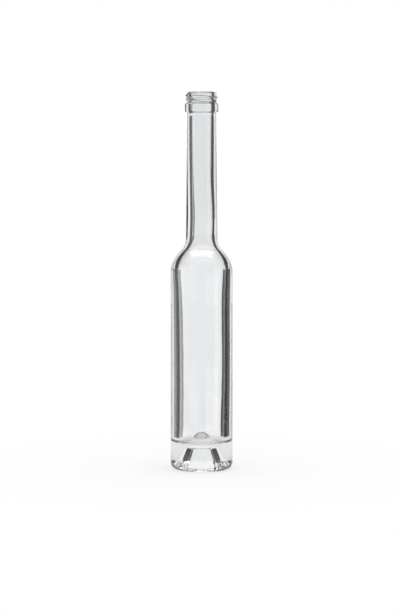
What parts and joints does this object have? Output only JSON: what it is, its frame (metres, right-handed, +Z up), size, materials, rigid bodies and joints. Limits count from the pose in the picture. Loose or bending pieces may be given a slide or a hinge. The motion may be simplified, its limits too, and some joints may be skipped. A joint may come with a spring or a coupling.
{
  "type": "oil bottle",
  "caption": "Tall slim clear glass oil bottle, empty and uncapped, with a sloped shoulder, long neck, thick wall, heavy domed floor and a roll-on thread finish.",
  "frame": {"origin": "centre of the ring that the bottle stands on, on its axis", "axes": "+Z up along the bottle's axis, from the standing ring to the mouth; the thread's lower end starts at +X"},
  "size_m": [0.0526, 0.0526, 0.32],
  "materials": {
    "clear_glass": "polished"
  },
  "bodies": {
    "root": {"bottle": "clear_glass"}
  },
  "joints": []
}
